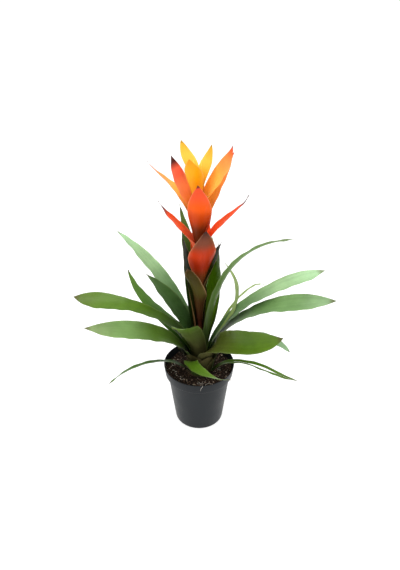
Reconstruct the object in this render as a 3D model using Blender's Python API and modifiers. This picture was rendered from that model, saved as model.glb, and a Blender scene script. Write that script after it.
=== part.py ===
"""Potted bromeliad in a round nursery pot.

Metres, +Z up. The origin is the centre of the pot's flat base. Every leaf and
bract is one closed blade: a curved centre line that leaves the plant's axis at
an azimuth, climbs at an angle that changes along its length, and carries a
cross section that clasps the stem at the root and opens into a shallow channel.
"""
from dataclasses import dataclass
from math import cos, hypot, pi, radians, sin

import bpy
from mathutils import Vector

NAME = "potted_bromeliad"

# ---- pot ---------------------------------------------------------------------
POT_HEIGHT = 0.117
RIM_RADIUS = 0.060
LIP_HEIGHT = 0.018
LIP_LOW_RADIUS = 0.0578
SHOULDER_DROP = 0.0025
SHOULDER_RADIUS = 0.0532
BASE_RADIUS = 0.0415
BASE_ROUND = 0.004
POT_WALL = 0.0012
BASE_THICKNESS = 0.0016
DRAIN_COUNT = 6
DRAIN_RADIUS = 0.0045
DRAIN_CIRCLE = 0.030
DRAIN_SIDES = 20
DRAIN_OVERCUT = 3
POT_STEPS = 96
ROUND_STEPS = 6

# ---- soil and stems ------------------------------------------------------------
GAP = 0.0003
SOIL_BELOW_RIM = 0.0115
SOIL_EDGE_FALL = 0.0015
STUB_DEPTH = 0.014
STUB_TAPER = 0.7
STEM_RADIUS = 0.0042
STEM_TOP_RADIUS = 0.0028
STEM_HEIGHT = 0.352
STEM_FOOT_X = 0.003
STEM_LEAN = -0.015
STEM_POINTS = 12
STUB_STEPS = 48

# ---- leaves ----------------------------------------------------------------------
LEAF_THICKNESS = 0.0005
SHEATH_GAP = 0.0004
SHEATH_SHORTEST = 0.008
SHEATH_STEP = 0.0022
MOST_WRAP = radians(73)
OPENS_AFTER = 0.006
ROLL_STARTS_BY = 0.35
HEADING_POWER = 1.5
LEAF_ROWS = 13
BLADE_COLUMNS = 7
TIP_HALF_WIDTH = 0.0003
FINE_STEPS = 16
SHARP_ANGLE = 40

# ---- bracts and florets ----------------------------------------------------------
BRACT_THICKNESS = 0.0006
BRACT_ROOT_GAP = 0.0012
BRACT_SHEATH = 0.012
BRACT_ROWS = 10
FLORET_RADIUS = 0.0018
FLORET_LENGTH = 0.033
FLORET_RING = 0.0029
FLORET_COUNT = 4
FLORET_SPREAD = 9
FLORET_STEPS = 8
FLORET_SIDES = 12
FLORET_FULLNESS = 0.8


@dataclass(frozen=True)
class Style:
    """How a family of blades is shaped across and along.

    root_share: width at the root beside the widest place.
    tip_power: how late the taper to the tip comes.
    channel: how deep the opened cross section is.
    unwrap: distance over which the clasping section opens.
    """

    rows: int
    root_share: float
    tip_power: float
    channel: float
    unwrap: float
    thickness: float


@dataclass(frozen=True)
class Blade:
    """One leaf or bract. Angles in degrees, lengths in metres.

    azimuth, turn: heading at the root, and how far it swings by the tip.
    climb: angle above level at the root, midway and at the tip.
    roll: twist about the centre line, midway and at the tip.
    widest: where along the length it is widest.
    height: root above the soil. sheath: length that clasps the stem.
    """

    azimuth: float
    turn: float
    climb: tuple
    length: float
    width: float
    roll: tuple
    widest: float
    height: float = 0.0
    sheath: float = BRACT_SHEATH
    tint: str = "red"


LEAF_COLOUR = (0.10, 0.25, 0.05)
TINTS = {
    "green": (0.09, 0.16, 0.05),
    "red": (0.80, 0.10, 0.04),
    "orange": (0.95, 0.30, 0.04),
    "yellow": (0.95, 0.62, 0.05),
}
LEAF = Style(LEAF_ROWS, 0.80, 2.6, 0.35, 0.030, LEAF_THICKNESS)
BRACT = Style(BRACT_ROWS, 0.55, 1.7, 0.45, 0.025, BRACT_THICKNESS)

# From the outermost, lowest leaf to the innermost.
LEAVES = (
    Blade(-115, 115, (85, -5, 5), 0.175, 0.023, (25, -50), 0.50),
    Blade(205, -20, (55, -5, -50), 0.165, 0.015, (20, 10), 0.55),
    Blade(-15, -10, (50, -45, 5), 0.160, 0.013, (-15, 20), 0.50),
    Blade(0, -10, (80, 5, -50), 0.180, 0.026, (-10, 5), 0.60),
    Blade(210, -12, (84, 8, 20), 0.250, 0.035, (-5, -35), 0.60),
    Blade(40, 15, (80, 40, -45), 0.220, 0.005, (-10, 5), 0.60),
    Blade(-66, 40, (84, 10, 34), 0.255, 0.038, (15, 85), 0.70),
    Blade(96, 0, (82, 25, -10), 0.220, 0.030, (0, 0), 0.60),
    Blade(155, -30, (82, -20, 60), 0.215, 0.024, (-50, -35), 0.35),
    Blade(-8, -9, (84, 12, 14), 0.290, 0.038, (-30, 55), 0.60),
    Blade(170, 0, (83, -14, 8), 0.270, 0.036, (30, -45), 0.75),
    Blade(-105, -8, (83, 40, 34), 0.225, 0.036, (28, -10), 0.65),
    Blade(2, 9, (83, 22, 14), 0.290, 0.030, (-12, 20), 0.75),
    Blade(82, 0, (84, 46, 15), 0.240, 0.030, (0, 0), 0.60),
    Blade(150, -6, (84, 40, 26), 0.290, 0.032, (-10, 25), 0.65),
    Blade(-16, 192, (82, 24, 54), 0.220, 0.007, (-6, -20), 0.65),
    Blade(175, -5, (84, 56, 46), 0.210, 0.034, (-20, 0), 0.55),
    Blade(34, -12, (84, 76, 92), 0.242, 0.034, (22, -8), 0.40),
    Blade(-34, 18, (84, 86, 6), 0.360, 0.028, (14, -46), 0.60),
    Blade(124, 12, (84, 86, 70), 0.300, 0.034, (-14, 10), 0.40),
)

# From the lowest bract to the highest; heights are above the soil.
BRACTS = (
    Blade(150, 0, (84, 84, 80), 0.210, 0.034, (0, 0), 0.45, 0.045, tint="green"),
    Blade(60, 0, (86, 86, 80), 0.090, 0.028, (0, 0), 0.45, 0.085, tint="green"),
    Blade(-114, 8, (86, 66, 54), 0.140, 0.036, (-28, 25), 0.45, 0.106, tint="green"),
    Blade(15, 0, (80, 70, 68), 0.108, 0.032, (0, 0), 0.45, 0.145, tint="green"),
    Blade(-76, 0, (78, 70, 76), 0.134, 0.048, (-5, 10), 0.50, 0.165),
    Blade(80, 0, (80, 70, 60), 0.120, 0.036, (0, 0), 0.45, 0.180),
    Blade(0, 0, (84, 18, 65), 0.168, 0.025, (5, -12), 0.55, 0.186, 0.055),
    Blade(14, 0, (84, 82, 80), 0.112, 0.034, (0, 0), 0.45, 0.198),
    Blade(184, -14, (76, 32, 64), 0.108, 0.027, (-8, 8), 0.25, 0.230),
    Blade(-86, -12, (78, 66, 60), 0.136, 0.039, (-8, 8), 0.45, 0.248),
    Blade(34, 6, (74, 60, 50), 0.134, 0.030, (-4, 15), 0.40, 0.266, tint="orange"),
    Blade(140, 30, (76, 6, 56), 0.128, 0.029, (2, 30), 0.50, 0.274, tint="orange"),
    Blade(156, -6, (74, 56, 76), 0.108, 0.025, (-10, -10), 0.65, 0.286, tint="orange"),
    Blade(8, 10, (76, 44, 78), 0.118, 0.032, (4, 20), 0.50, 0.298, tint="orange"),
    Blade(98, 0, (84, 60, 42), 0.068, 0.026, (0, 0), 0.45, 0.306, tint="orange"),
    Blade(-110, -4, (80, 72, 66), 0.090, 0.030, (8, 0), 0.60, 0.316, tint="yellow"),
    Blade(52, 10, (80, 45, 66), 0.078, 0.024, (-4, -4), 0.45, 0.328, tint="yellow"),
    Blade(132, -10, (80, 40, 60), 0.074, 0.026, (5, 0), 0.50, 0.340, tint="yellow"),
)

# ---- sizes that follow from the ones above ---------------------------------------
SOIL_TOP = POT_HEIGHT - SOIL_BELOW_RIM
LEAF_FOOT = SOIL_TOP + GAP
SHEATH_PITCH = LEAF_THICKNESS + SHEATH_GAP
INNERMOST_RADIUS = STEM_RADIUS + SHEATH_PITCH
OUTERMOST_RADIUS = INNERMOST_RADIUS + SHEATH_PITCH * (len(LEAVES) - 1)
STUB_RADIUS = OUTERMOST_RADIUS + LEAF_THICKNESS


def smooth(value):
    """Ease from 0 to 1 with level ends."""
    value = min(max(value, 0.0), 1.0)
    return value * value * (3 - 2 * value)


def stem_x(height):
    """Where the leaning stem's axis is, along X, at a height above the soil."""
    return STEM_FOOT_X + STEM_LEAN * height


def angle_along(climb, share):
    """Climb angle at a share of the free length: a quadratic through three values."""
    start, middle, end = climb
    rest = 1 - share
    return radians(rest * rest * start + 2 * share * rest * middle + share * share * end)


def half_width(blade, style, share):
    """Half the width at a share of the length: grows to the widest place, then tapers."""
    grow = style.root_share + (1 - style.root_share) * smooth(share / blade.widest)
    past = max(0.0, (share - blade.widest) / (1 - blade.widest))
    return max(TIP_HALF_WIDTH, blade.width / 2 * grow * (1 - past ** style.tip_power))


def blade_grid(blade, style, root, axis, sheath):
    """Rows of points across the blade, from its root to its tip."""
    steps = FINE_STEPS * (style.rows - 1)
    bend_from = sheath / blade.length
    point = Vector(root)
    root_reach = hypot(point.x - axis[0], point.y - axis[1])
    rows = []
    before = None
    for step in range(steps + 1):
        share = step / steps
        free = min(max((share - bend_from) / (1 - bend_from), 0.0), 1.0)
        climb = angle_along(blade.climb, free)
        heading = radians(blade.azimuth + blade.turn * free ** HEADING_POWER)
        along = Vector((cos(climb) * cos(heading), cos(climb) * sin(heading), sin(climb)))
        if before is not None:
            point = point + (along + before) / 2 * (blade.length / steps)
        before = along
        if step % FINE_STEPS:
            continue
        up = Vector((-sin(climb) * cos(heading), -sin(climb) * sin(heading), cos(climb)))
        side = along.cross(up)
        roll = radians(blade.roll[0] * sin(pi * free) + blade.roll[1] * free)
        roll *= smooth(free / ROLL_STARTS_BY)
        normal = up * cos(roll) + side * sin(roll)
        side = side * cos(roll) - up * sin(roll)
        half = half_width(blade, style, share)
        reach = hypot(point.x - axis[0], point.y - axis[1])
        open_share = smooth((reach - root_reach - OPENS_AFTER) / style.unwrap)
        bend = (1 - open_share) / reach + open_share * style.channel * 2 / blade.width
        most = min(half * bend, MOST_WRAP)
        row = []
        for column in range(BLADE_COLUMNS):
            turn = most * (2 * column / (BLADE_COLUMNS - 1) - 1)
            row.append(point + side * (sin(turn) / bend) + normal * ((1 - cos(turn)) / bend))
        rows.append(row)
    return rows


def material(name, colour, roughness=0.5, metallic=0.0):
    """A plain Principled material."""
    made = bpy.data.materials.new(name)
    made.use_nodes = True
    shader = made.node_tree.nodes["Principled BSDF"]
    shader.inputs["Base Color"].default_value = (*colour, 1.0)
    shader.inputs["Roughness"].default_value = roughness
    shader.inputs["Metallic"].default_value = metallic
    return made


def new_object(name, points, faces, collection):
    """A mesh object from points and faces, in a collection."""
    mesh = bpy.data.meshes.new(name)
    mesh.from_pydata(points, [], faces)
    mesh.update()
    made = bpy.data.objects.new(name, mesh)
    collection.objects.link(made)
    return made


def round_off(made):
    """Shade smooth, with sharp edges kept where faces meet steeply."""
    made.data.shade_smooth()
    made.data.set_sharp_from_angle(angle=radians(SHARP_ANGLE))


def turned(name, profile, steps, collection):
    """A solid of revolution from an outline of radius and height, listed top to bottom
    on its outer side."""
    points = [(radius, 0.0, height) for radius, height in profile]
    mesh = bpy.data.meshes.new(name)
    mesh.from_pydata(points, [(i, i + 1) for i in range(len(points) - 1)], [])
    made = bpy.data.objects.new(name, mesh)
    collection.objects.link(made)
    screw = made.modifiers.new("turn", "SCREW")
    screw.axis = "Z"
    screw.steps = steps
    screw.render_steps = steps
    screw.use_merge_vertices = True
    screw.merge_threshold = 0.00001
    screw.use_smooth_shade = True
    return made


def blade_object(name, rows, style, made_of, collection):
    """A closed blade: the sheet of points given a thickness."""
    columns = len(rows[0])
    points = [point for row in rows for point in row]
    faces = []
    for i in range(len(rows) - 1):
        for j in range(columns - 1):
            corner = i * columns + j
            faces.append((corner, corner + 1, corner + columns + 1, corner + columns))
    made = new_object(name, points, faces, collection)
    wall = made.modifiers.new("thickness", "SOLIDIFY")
    wall.thickness = style.thickness
    wall.offset = 0.0
    wall.use_rim = True
    made.data.materials.append(made_of)
    round_off(made)
    return made


def arc(centre, radius, start, end, steps):
    """Points on an arc of radius and height, from one angle to another."""
    points = []
    for step in range(steps + 1):
        angle = radians(start + (end - start) * step / steps)
        points.append((centre[0] + radius * cos(angle), centre[1] + radius * sin(angle)))
    return points


def inner_radius(height):
    """Radius of the pot's inner wall at a height."""
    shoulder = POT_HEIGHT - LIP_HEIGHT
    if height > shoulder:
        share = (height - shoulder) / LIP_HEIGHT
        return LIP_LOW_RADIUS + (RIM_RADIUS - LIP_LOW_RADIUS) * share - POT_WALL
    low = shoulder - SHOULDER_DROP
    if height > low:
        share = (height - low) / SHOULDER_DROP
        return SHOULDER_RADIUS + (LIP_LOW_RADIUS - SHOULDER_RADIUS) * share - POT_WALL
    return BASE_RADIUS + (SHOULDER_RADIUS - BASE_RADIUS) * height / low - POT_WALL


def build_pot(collection, cutters):
    """The pot: a thin stepped cup with drain holes round its base."""
    shoulder = POT_HEIGHT - LIP_HEIGHT
    low = shoulder - SHOULDER_DROP
    floor = BASE_THICKNESS
    profile = [(0.0, floor), (inner_radius(floor) - BASE_ROUND / 2, floor)]
    profile += [(inner_radius(BASE_ROUND), BASE_ROUND)]
    profile += [(inner_radius(low), low), (inner_radius(shoulder), shoulder)]
    profile += [(RIM_RADIUS - POT_WALL, POT_HEIGHT - POT_WALL / 3)]
    profile += [(RIM_RADIUS - POT_WALL / 2, POT_HEIGHT)]
    profile += [(RIM_RADIUS, POT_HEIGHT - POT_WALL / 2)]
    profile += [(LIP_LOW_RADIUS, shoulder), (SHOULDER_RADIUS, low)]
    profile += arc((BASE_RADIUS - BASE_ROUND, BASE_ROUND), BASE_ROUND, 0, -90, ROUND_STEPS)
    profile += [(0.0, 0.0)]
    pot = turned("pot", profile, POT_STEPS, collection)
    pot.data.materials.append(material("pot_plastic", (0.025, 0.028, 0.032), 0.45))
    for index in range(DRAIN_COUNT):
        angle = 2 * pi * index / DRAIN_COUNT
        place = (DRAIN_CIRCLE * cos(angle), DRAIN_CIRCLE * sin(angle), floor / 2)
        bpy.ops.mesh.primitive_cylinder_add(vertices=DRAIN_SIDES, radius=DRAIN_RADIUS,
                                            depth=floor * DRAIN_OVERCUT, location=place)
        cutter = bpy.context.object
        cutter.name = f"drain_cutter_{index + 1}"
        for owner in list(cutter.users_collection):
            owner.objects.unlink(cutter)
        cutters.objects.link(cutter)
        cutter.hide_render = True
        cutter.display_type = "WIRE"
        cut = pot.modifiers.new(f"drain_{index + 1}", "BOOLEAN")
        cut.operation = "DIFFERENCE"
        cut.solver = "EXACT"
        cut.object = cutter
    return pot


def build_soil(collection):
    """The potting soil: it fills the pot, with a pocket for the plant's short stem."""
    top_edge = SOIL_TOP - SOIL_EDGE_FALL
    shoulder = POT_HEIGHT - LIP_HEIGHT
    low = shoulder - SHOULDER_DROP
    floor = BASE_THICKNESS + GAP
    pocket = STUB_RADIUS + GAP
    deep = SOIL_TOP - STUB_DEPTH - GAP
    profile = [(0.0, deep), (pocket * STUB_TAPER, deep), (pocket, SOIL_TOP)]
    profile += [((pocket + RIM_RADIUS) / 2, SOIL_TOP)]
    profile += [(inner_radius(top_edge) - GAP, top_edge)]
    profile += [(inner_radius(shoulder) - GAP, shoulder), (inner_radius(low) - GAP, low)]
    profile += [(inner_radius(BASE_ROUND) - GAP, BASE_ROUND + GAP)]
    profile += [(inner_radius(floor) - BASE_ROUND / 2 - GAP, floor), (0.0, floor)]
    soil = turned("soil", profile, POT_STEPS, collection)
    soil.data.materials.append(material("soil", (0.035, 0.022, 0.015), 0.95))
    return soil


def build_short_stem(collection):
    """The short stem that the leaves stand on, set into the soil's pocket."""
    top = SOIL_TOP - GAP
    deep = SOIL_TOP - STUB_DEPTH
    low_radius = (STUB_RADIUS + GAP) * STUB_TAPER - GAP
    profile = [(0.0, top), (STUB_RADIUS, top), (low_radius, deep), (0.0, deep)]
    stub = turned("short_stem", profile, STUB_STEPS, collection)
    stub.data.materials.append(material("short_stem", (0.16, 0.12, 0.05), 0.8))
    return stub


def build_flower_stem(collection):
    """The leaning flower stem, thinner towards its top."""
    curve = bpy.data.curves.new("flower_stem", "CURVE")
    curve.dimensions = "3D"
    curve.bevel_depth = STEM_RADIUS
    curve.bevel_resolution = 3
    curve.use_fill_caps = True
    line = curve.splines.new("POLY")
    line.points.add(STEM_POINTS - 1)
    for index, point in enumerate(line.points):
        share = index / (STEM_POINTS - 1)
        height = STEM_HEIGHT * share
        point.co = (stem_x(height), 0.0, LEAF_FOOT + height, 1.0)
        point.radius = 1 - share * (1 - STEM_TOP_RADIUS / STEM_RADIUS)
    stem = bpy.data.objects.new("flower_stem", curve)
    collection.objects.link(stem)
    curve.materials.append(material("flower_stem", (0.25, 0.05, 0.03), 0.5))
    return stem


def build_leaves(collection):
    """The rosette: each leaf's sheath lies inside the one before it."""
    made_of = material("leaf", LEAF_COLOUR, 0.4)
    for index, blade in enumerate(LEAVES):
        radius = OUTERMOST_RADIUS - SHEATH_PITCH * index
        angle = radians(blade.azimuth)
        axis = (STEM_FOOT_X, 0.0)
        root = (axis[0] + radius * cos(angle), radius * sin(angle), LEAF_FOOT)
        sheath = SHEATH_SHORTEST + SHEATH_STEP * index
        rows = blade_grid(blade, LEAF, root, axis, sheath)
        blade_object(f"leaf_{index + 1:02d}", rows, LEAF, made_of, collection)


def build_bracts(collection):
    """The coloured bracts up the flower stem, lowest first."""
    made_of = {tint: material(f"bract_{tint}", colour, 0.4) for tint, colour in TINTS.items()}
    for index, blade in enumerate(BRACTS):
        angle = radians(blade.azimuth)
        radius = STEM_RADIUS + BRACT_ROOT_GAP
        axis = (stem_x(blade.height), 0.0)
        root = (axis[0] + radius * cos(angle), radius * sin(angle), SOIL_TOP + blade.height)
        rows = blade_grid(blade, BRACT, root, axis, blade.sheath)
        blade_object(f"bract_{index + 1:02d}", rows, BRACT, made_of[blade.tint], collection)


def build_florets(collection):
    """The small closed florets in the heart of the top bracts."""
    made_of = material("floret", (0.9, 0.65, 0.03), 0.4)
    outline = [(0.0, FLORET_LENGTH)]
    for step in range(1, FLORET_STEPS):
        share = step / FLORET_STEPS
        radius = FLORET_RADIUS * sin(pi * share) ** FLORET_FULLNESS
        outline.append((radius, FLORET_LENGTH * (1 - share)))
    outline.append((0.0, 0.0))
    top = LEAF_FOOT + STEM_HEIGHT + 2 * GAP
    for index in range(FLORET_COUNT):
        floret = turned(f"floret_{index + 1}", outline, FLORET_SIDES, collection)
        angle = 2 * pi * index / FLORET_COUNT + pi / 4
        floret.rotation_euler = (0.0, radians(FLORET_SPREAD), angle)
        x = stem_x(STEM_HEIGHT) + FLORET_RING * cos(angle)
        floret.location = (x, FLORET_RING * sin(angle), top)
        floret.data.materials.append(made_of)


def main():
    """Clear the scene and build every piece."""
    for old in list(bpy.data.objects):
        bpy.data.objects.remove(old, do_unlink=True)
    collection = bpy.data.collections.new(NAME)
    cutters = bpy.data.collections.new("cutters")
    bpy.context.scene.collection.children.link(collection)
    bpy.context.scene.collection.children.link(cutters)
    build_pot(collection, cutters)
    build_soil(collection)
    build_short_stem(collection)
    build_flower_stem(collection)
    build_leaves(collection)
    build_bracts(collection)
    build_florets(collection)


main()
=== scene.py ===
"""Potted bromeliad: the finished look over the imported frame.

Metres, +Z up, the origin at the centre of the pot's flat base. The plant is a
rosette of strap leaves round a flower spike, in a dark round nursery pot.
"""
import logging
from dataclasses import dataclass, field, replace
from enum import Enum

import bpy
import numpy as np
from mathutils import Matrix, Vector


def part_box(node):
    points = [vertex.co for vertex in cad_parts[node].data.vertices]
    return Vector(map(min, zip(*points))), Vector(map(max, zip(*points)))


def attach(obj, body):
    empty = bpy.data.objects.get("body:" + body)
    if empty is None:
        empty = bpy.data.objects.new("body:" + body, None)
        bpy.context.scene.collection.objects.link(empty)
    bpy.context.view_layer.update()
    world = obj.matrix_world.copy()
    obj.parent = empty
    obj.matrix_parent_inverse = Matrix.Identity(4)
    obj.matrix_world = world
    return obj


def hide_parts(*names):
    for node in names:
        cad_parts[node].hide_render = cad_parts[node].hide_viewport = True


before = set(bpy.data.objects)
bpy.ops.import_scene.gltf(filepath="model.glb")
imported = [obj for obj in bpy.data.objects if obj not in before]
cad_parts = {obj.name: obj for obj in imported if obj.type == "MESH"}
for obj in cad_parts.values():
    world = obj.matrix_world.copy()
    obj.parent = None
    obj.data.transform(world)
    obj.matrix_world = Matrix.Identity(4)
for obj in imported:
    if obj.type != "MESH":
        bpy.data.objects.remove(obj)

LOG = logging.getLogger("bromeliad")
Colour = tuple[float, float, float]


# ---- colour and shape helpers ----------------------------------------------------
def colour(code: str) -> Colour:
    """Turn a six-digit display colour into a linear one.

    Args:
        code: the red, green and blue bytes in hexadecimal.

    Returns:
        Red, green and blue shares of light.
    """
    share = np.array([int(code[i : i + 2], 16) for i in (0, 2, 4)]) / 255
    linear = np.where(share <= 0.04045, share / 12.92, ((share + 0.055) / 1.055) ** 2.4)
    return tuple(float(value) for value in linear)


def smooth(value: np.ndarray) -> np.ndarray:
    """Ease from 0 to 1 with level ends: three squares less two cubes."""
    held = np.clip(value, 0.0, 1.0)
    return held * held * (3 - 2 * held)


def lattice_noise(places: np.ndarray, cell: float, seed: int) -> np.ndarray:
    """Smooth random heights over a plane.

    Each place takes the eased mean of the random heights at the four corners
    of its lattice cell.

    Args:
        places: positions, with two coordinates in the last axis.
        cell: the lattice spacing.
        seed: picks the random heights.

    Returns:
        Heights from -1 to 1, one for each place.
    """
    heights = np.random.default_rng(seed).uniform(-1, 1, (64, 64))
    scaled = places / cell
    corner = np.floor(scaled).astype(int)
    share = smooth(scaled - corner)
    x, y = corner[..., 0] % 64, corner[..., 1] % 64
    right, up = (x + 1) % 64, (y + 1) % 64
    low = heights[x, y] * (1 - share[..., 0]) + heights[right, y] * share[..., 0]
    high = heights[x, up] * (1 - share[..., 0]) + heights[right, up] * share[..., 0]
    return low * (1 - share[..., 1]) + high * share[..., 1]


def polar(radius: object, angle: object, *height: object) -> np.ndarray:
    """Positions (r cos a, r sin a) at a radius and a turn angle, then the height if given."""
    return np.stack(np.broadcast_arrays(radius * np.cos(angle), radius * np.sin(angle), *height), -1)


def band(rows: int, count: int, start: int = 0) -> list[list[int]]:
    """Four-cornered faces between rings of points.

    Args:
        rows: how many rings follow each other.
        count: how many points each ring has.
        start: the number of the first ring's first point.

    Returns:
        The faces' corners.
    """
    here = np.arange(count)
    after = (here + 1) % count
    base = start + count * np.arange(rows - 1)[:, None]
    quads = np.stack([base + here, base + after, base + count + after, base + count + here], -1)
    return quads.reshape(-1, 4).tolist()


def fan(pole: int, ring: int, count: int, first: bool) -> list[list[int]]:
    """Triangles that close an end ring on a point.

    Args:
        pole: the number of the point.
        ring: the number of the ring's first point.
        count: how many points the ring has.
        first: it closes the first ring, not the last.

    Returns:
        The faces' corners.
    """
    here = np.arange(count)
    after = (here + 1) % count
    one, two = (after, here) if first else (here, after)
    return np.stack([np.full_like(here, pole), ring + one, ring + two], -1).tolist()


@dataclass
class Surface:
    """A closed mesh in the making: its points, faces, and values at the points."""

    points: np.ndarray
    faces: list
    place: np.ndarray | None = None
    marks: dict[str, np.ndarray] = field(default_factory=dict)

    def finish(self, name: str, material: bpy.types.Material, sharp: float = 50.0) -> bpy.types.Object:
        """Put the surface into a mesh object that rides on the plant's body.

        Args:
            name: the piece's name.
            material: what it is made of.
            sharp: edges steeper than this angle, in degrees, stay sharp.

        Returns:
            The new object.
        """
        mesh = bpy.data.meshes.new(name)
        mesh.from_pydata(self.points.tolist(), [], self.faces)
        corners = np.empty(len(mesh.loops), dtype=np.int32)
        mesh.loops.foreach_get("vertex_index", corners)
        if self.place is not None:
            layer = mesh.uv_layers.new(name="place")
            layer.data.foreach_set("uv", self.place[corners].astype(np.float32).ravel())
        for mark, values in self.marks.items():
            made = mesh.attributes.new(mark, "FLOAT", "POINT")
            made.data.foreach_set("value", values.astype(np.float32))
        mesh.materials.append(material)
        mesh.shade_smooth()
        mesh.set_sharp_from_angle(angle=np.radians(sharp))
        made = bpy.data.objects.new(name, mesh)
        bpy.context.scene.collection.objects.link(made)
        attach(made, "root")
        return made


def lathe(profile: np.ndarray, steps: int, relief: np.ndarray | None = None) -> Surface:
    """Turn an outline round the vertical axis into a closed surface.

    A point at turn angle a is (radius cos a, radius sin a, height). The first
    and last outline points lie on the axis and become the poles.

    Args:
        profile: rows of radius and height, upwards on the outer side.
        steps: how many points go round.
        relief: heights to add, one row for each outline point between the poles.

    Returns:
        The closed surface, its place being (turn share, outline share).
    """
    angle = 2 * np.pi * np.arange(steps) / steps
    ring = polar(profile[1:-1, 0, None], angle, profile[1:-1, 1, None])
    if relief is not None:
        ring[..., 2] += relief
    count = len(ring)
    points = np.vstack([[[0, 0, profile[0, 1]]], ring.reshape(-1, 3), [[0, 0, profile[-1, 1]]]])
    last = 1 + steps * (count - 1)
    faces = band(count, steps, 1) + fan(0, 1, steps, True) + fan(len(points) - 1, last, steps, False)
    rows = np.repeat(np.arange(count + 2) / (count + 1), [1] + [steps] * count + [1])
    turns = np.concatenate([[0.5], np.tile(np.arange(steps) / steps, count), [0.5]])
    return Surface(points, faces, np.stack([turns, rows], -1))


def rounded(corners: list[tuple[float, float, float]], steps: int = 5) -> np.ndarray:
    """Round an outline's corners.

    Each corner (radius, height, round) gives way to a quadratic curve that
    starts and ends that far along its two sides.

    Args:
        corners: the outline, with the rounding of each corner.
        steps: how many pieces each curve has.

    Returns:
        Rows of radius and height.
    """
    rows = []
    spots = np.array([corner[:2] for corner in corners])
    share = np.linspace(0, 1, steps + 1)[:, None]
    for index, (spot, corner) in enumerate(zip(spots, corners)):
        if corner[2] == 0:
            rows.append(spot[None])
            continue
        back, on = spots[index - 1] - spot, spots[index + 1] - spot
        start = spot + back / np.linalg.norm(back) * corner[2]
        end = spot + on / np.linalg.norm(on) * corner[2]
        rows.append((1 - share) ** 2 * start + 2 * share * (1 - share) * spot + share**2 * end)
    return np.vstack(rows)


def tube(path: np.ndarray, radii: np.ndarray, sides: int) -> Surface:
    """Carry a circle along a path.

    Each ring stands square to the path: its first axis is the path's direction
    crossed with +Y, or with +Z where the path runs along Y, and its second
    completes the frame. The end rings close on a point.

    Args:
        path: rows of positions.
        radii: a radius for each, or a radius for each at each side.
        sides: how many points go round.

    Returns:
        The closed surface, its place being (turn share, length share).
    """
    along = np.gradient(path, axis=0)
    along /= np.linalg.norm(along, axis=1, keepdims=True)
    first = np.cross(along, np.array([0.0, 1.0, 0.0]))
    level = np.linalg.norm(first, axis=1, keepdims=True) < 0.2
    first = np.where(level, np.cross(along, np.array([0.0, 0.0, 1.0])), first)
    first /= np.linalg.norm(first, axis=1, keepdims=True)
    second = np.cross(along, first)
    angle = 2 * np.pi * np.arange(sides) / sides
    spread = radii if radii.ndim == 2 else np.repeat(radii[:, None], sides, 1)
    ring = (
        path[:, None]
        + first[:, None] * (spread * np.cos(angle))[..., None]
        + second[:, None] * (spread * np.sin(angle))[..., None]
    )
    rows = len(path)
    points = np.vstack([ring.reshape(-1, 3), path[:1], path[-1:]])
    start, last = rows * sides, (rows - 1) * sides
    faces = band(rows, sides) + fan(start, 0, sides, True) + fan(start + 1, last, sides, False)
    turns = np.concatenate([np.tile(np.arange(sides) / sides, rows), [0.5, 0.5]])
    shares = np.concatenate([np.repeat(np.arange(rows) / (rows - 1), sides), [0.0, 1.0]])
    return Surface(points, faces, np.stack([turns, shares], -1))


# ---- shader helpers --------------------------------------------------------------
class Graph:
    """A node tree with short calls to add and join nodes."""

    def __init__(self, tree: bpy.types.NodeTree) -> None:
        """Keep the tree."""
        self.tree = tree

    def node(self, kind: str, inputs: dict | None = None, **settings: object) -> bpy.types.Node:
        """Add a node.

        Args:
            kind: the node's type, without its ShaderNode prefix.
            inputs: values or output sockets, by the input's name or number.
            settings: properties of the node.

        Returns:
            The new node.
        """
        made = self.tree.nodes.new(kind if kind.startswith("Node") else f"ShaderNode{kind}")
        for name, value in settings.items():
            setattr(made, name, value)
        for name, value in (inputs or {}).items():
            if isinstance(value, bpy.types.NodeSocket):
                self.tree.links.new(value, made.inputs[name])
            else:
                made.inputs[name].default_value = value
        return made

    def join(self, source: bpy.types.NodeSocket, target: bpy.types.NodeSocket) -> None:
        """Link an output to an input."""
        self.tree.links.new(source, target)

    def effect(self, effect: "Effect", inputs: dict) -> bpy.types.Node:
        """Place a shared effect with its own values."""
        return self.node("Group", inputs, node_tree=EFFECTS.get(effect))

    def place(self) -> tuple[bpy.types.NodeSocket, bpy.types.NodeSocket]:
        """Give the piece's own place, and the share of the length in it."""
        place = self.node("UVMap", uv_map="place").outputs[0]
        return place, self.node("SeparateXYZ", {0: place}).outputs[1]

    def math(self, kind: str, first: object, second: object, clamp: bool = False) -> bpy.types.NodeSocket:
        """Add a Math node and give its output."""
        return self.node("Math", {0: first, 1: second}, operation=kind, use_clamp=clamp).outputs[0]

    def swing(self, value: object, amount: object) -> bpy.types.NodeSocket:
        """Centre a value from 0 to 1 on nought and scale it."""
        return self.math("MULTIPLY", self.math("SUBTRACT", value, 0.5), amount)

    def mix(self, share: object, low: object, high: object) -> bpy.types.NodeSocket:
        """Mix two colours and give the result; a plain colour is a six-digit code."""
        low, high = ((*colour(tone), 1.0) if isinstance(tone, str) else tone for tone in (low, high))
        return self.node("Mix", {0: share, 6: low, 7: high}, data_type="RGBA").outputs[2]

    def ramp(self, share: object, stops: list[tuple[float, str]], kind: str = "EASE") -> bpy.types.NodeSocket:
        """Colours along a value.

        Args:
            share: the value, from 0 to 1.
            stops: places and their six-digit colours, in order.
            kind: how the colours run into each other.

        Returns:
            The colour output.
        """
        made = self.node("ValToRGB", {0: share})
        band_of_tones = made.color_ramp
        band_of_tones.interpolation = kind
        while len(band_of_tones.elements) < len(stops):
            band_of_tones.elements.new(1.0)
        for element, (place, code) in zip(band_of_tones.elements, stops):
            element.position = place
            element.color = (*colour(code), 1.0)
        return made.outputs[0]


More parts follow.
